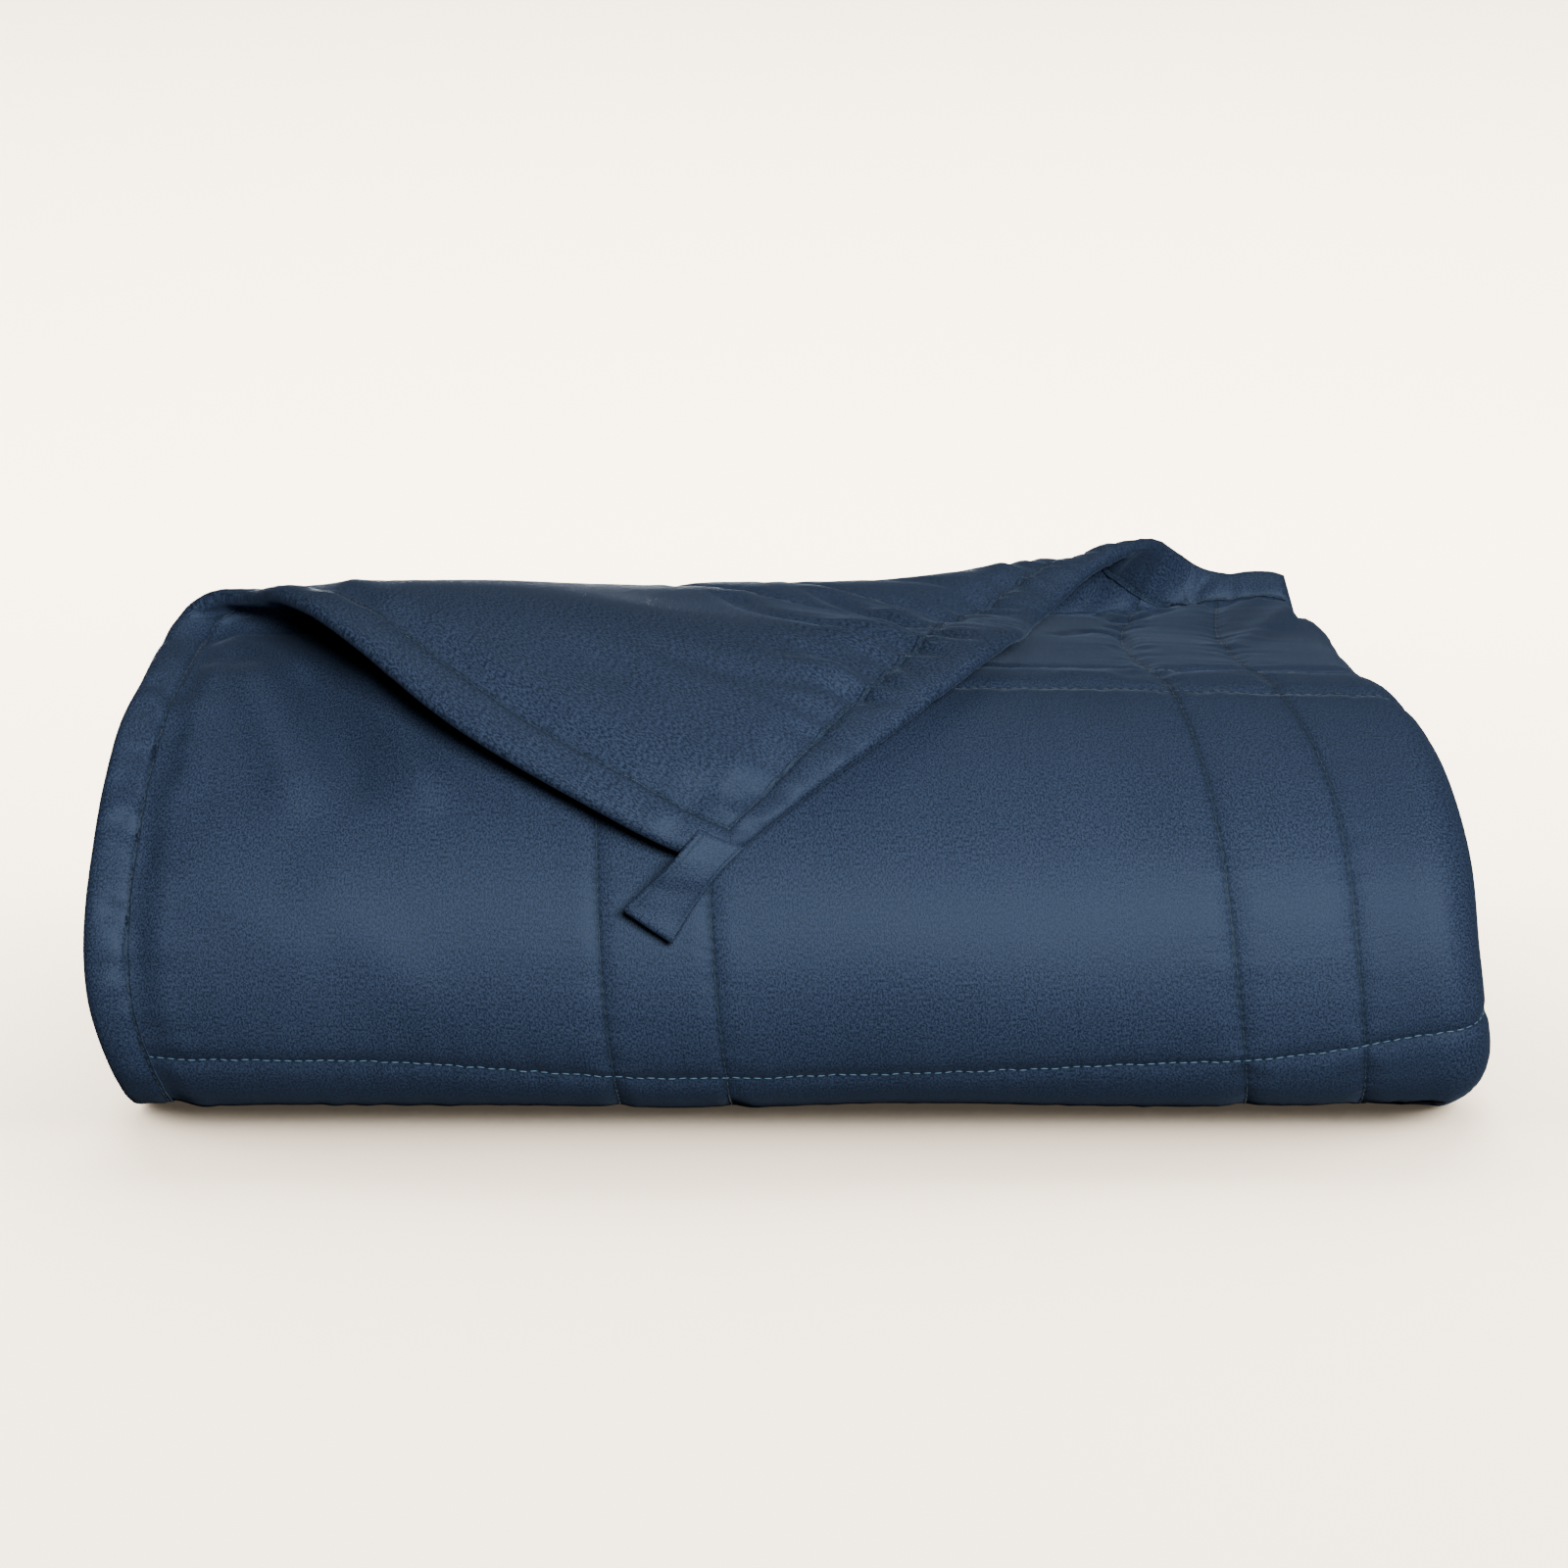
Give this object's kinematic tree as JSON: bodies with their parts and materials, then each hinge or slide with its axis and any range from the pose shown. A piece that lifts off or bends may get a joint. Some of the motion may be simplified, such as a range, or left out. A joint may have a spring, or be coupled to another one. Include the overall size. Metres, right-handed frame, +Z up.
{
  "type": "weighted blanket",
  "caption": "Quilted weighted blanket, bound all round, folded into a thick stack with its top back corner turned over the front and a sewn tape loop at that corner.",
  "frame": {"origin": "centre of the bounding box, on the surface that the folded blanket rests on", "axes": "+X left to right along the folded stack, +Z up, the big front fold towards -Y"},
  "size_m": [0.4483, 0.3186, 0.1654],
  "materials": {
    "sateen": "satin weave, quilted",
    "edging": "satin weave",
    "tape": "woven tape"
  },
  "bodies": {
    "root": {"quilted_blanket": "sateen", "binding": "edging", "corner_loop": "tape"}
  },
  "joints": []
}
